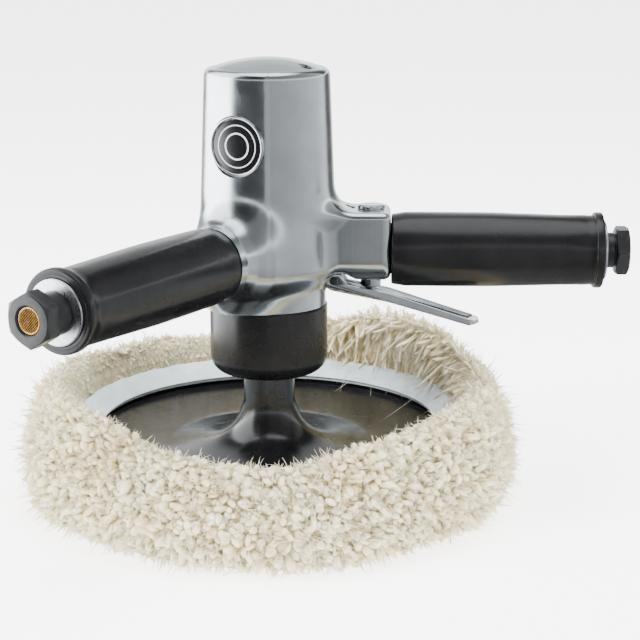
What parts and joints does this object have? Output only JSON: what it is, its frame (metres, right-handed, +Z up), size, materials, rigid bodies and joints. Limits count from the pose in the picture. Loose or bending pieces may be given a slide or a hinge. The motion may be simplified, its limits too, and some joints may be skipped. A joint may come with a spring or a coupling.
{
  "type": "pneumatic rotary polisher",
  "caption": "Air-driven vertical rotary polisher: alloy motor housing, side handles with rubber grips, throttle lever, backing pad with wool bonnet.",
  "frame": {"origin": "centre of the polishing face, under the spindle", "axes": "+Z up along the spindle from the polishing face to the motor, +X out along the inlet handle; the exhaust handle leaves at 240 degrees from +X about +Z"},
  "size_m": [0.2998, 0.2815, 0.2177],
  "materials": {
    "cast_aluminium": "satin, brushed casting",
    "black_oxide": "black oxide, semi-gloss",
    "black_enamel": "semi-gloss black enamel",
    "seal_rubber": "matt",
    "bearing_steel": "ground",
    "grip_rubber": "glossy moulded rubber",
    "brass": "dull woven or turned brass",
    "felt": "felt",
    "plated_steel": "bright plated",
    "badge_enamel": "glossy enamel",
    "pad_rubber": "smooth moulded rubber, glossy at the hub",
    "wool": "deep wool pile",
    "hem_cloth": "woven cotton",
    "cord_cotton": "braided cotton",
    "phenolic": "laminated phenolic",
    "steel": "machined steel"
  },
  "bodies": {
    "housing": {"motor_housing": "cast_aluminium", "oil_plug": "black_oxide", "bearing_collar": "black_enamel", "spindle_seal": "seal_rubber", "lower_spindle_bearing": "bearing_steel", "upper_spindle_bearing": "bearing_steel", "lower_rotor_bearing": "bearing_steel", "upper_rotor_bearing": "bearing_steel", "lower_end_plate": "steel", "upper_end_plate": "steel", "motor_cylinder": "steel", "ring_gear": "steel", "inlet_tube": "cast_aluminium", "inlet_grip": "grip_rubber", "inlet_bushing": "black_oxide", "inlet_screen": "brass", "exhaust_tube": "cast_aluminium", "exhaust_grip": "grip_rubber", "exhaust_bushing": "black_oxide", "exhaust_screen": "brass", "silencer": "felt", "badge_rim": "plated_steel", "badge_disc": "badge_enamel", "valve_cap": "plated_steel", "valve_seat": "brass", "valve_guide": "plated_steel", "stem_seal": "seal_rubber", "valve_spring": "steel", "lever_pin": "steel"},
    "spindle": {"spindle": "steel", "planet_pin_1": "bearing_steel", "planet_pin_2": "bearing_steel", "planet_pin_3": "bearing_steel", "pad_insert": "steel", "backing_pad": "pad_rubber", "bonnet": "wool", "bonnet_hem": "hem_cloth", "bonnet_drawstring": "cord_cotton"},
    "rotor": {"rotor": "steel", "rotor_shaft": "bearing_steel", "sun_pinion": "steel", "vane_1": "phenolic", "vane_2": "phenolic", "vane_3": "phenolic", "vane_4": "phenolic", "vane_5": "phenolic"},
    "planet_1": {"planet_gear_1": "steel"},
    "planet_2": {"planet_gear_2": "steel"},
    "planet_3": {"planet_gear_3": "steel"},
    "lever": {"throttle_lever": "plated_steel"},
    "plunger": {"throttle_plunger": "plated_steel"},
    "regulator": {"regulator_screw": "plated_steel"}
  },
  "joints": [
    {"name": "spindle_spin", "type": "hinge", "parent": "housing", "child": "spindle", "pos_m": [0, 0, 0], "axis": [0, 0, 1], "continuous": true},
    {"name": "rotor_spin", "type": "hinge", "parent": "housing", "child": "rotor", "pos_m": [0, 0, 0], "axis": [0, 0, 1], "continuous": true},
    {"name": "planet_1_spin", "type": "hinge", "parent": "spindle", "child": "planet_1", "pos_m": [0.0135, 0, 0.106], "axis": [0, 0, 1], "continuous": true},
    {"name": "planet_2_spin", "type": "hinge", "parent": "spindle", "child": "planet_2", "pos_m": [-0.00675, 0.01169, 0.106], "axis": [0, 0, 1], "continuous": true},
    {"name": "planet_3_spin", "type": "hinge", "parent": "spindle", "child": "planet_3", "pos_m": [-0.00675, -0.01169, 0.106], "axis": [0, 0, 1], "continuous": true},
    {"name": "lever_squeeze", "type": "hinge", "parent": "housing", "child": "lever", "pos_m": [0.0325, 0, 0.1092], "axis": [0, -1, 0], "range_deg": [0, 9.5], "stiffness_Nm_per_rad": 0.6, "springref_deg": -6.88},
    {"name": "plunger_slide", "type": "slide", "parent": "housing", "child": "plunger", "axis": [0, 0, 1], "range_m": [0, 0.0032], "stiffness_N_per_m": 5, "springref_m": -0.002, "deforming": ["valve_spring"]},
    {"name": "regulator_turn", "type": "hinge", "parent": "housing", "child": "regulator", "pos_m": [0.0405, 0, 0.1442], "axis": [0, 0, 1], "range_deg": [0, 90]}
  ],
  "couplings": [
    {"joint": "rotor_spin", "follows": "spindle_spin", "ratio": 6},
    {"joint": "planet_1_spin", "follows": "spindle_spin", "ratio": -2.5},
    {"joint": "planet_2_spin", "follows": "spindle_spin", "ratio": -2.5},
    {"joint": "planet_3_spin", "follows": "spindle_spin", "ratio": -2.5},
    {"joint": "plunger_slide", "follows": "lever_squeeze", "m_per_rad": 0.0183}
  ]
}
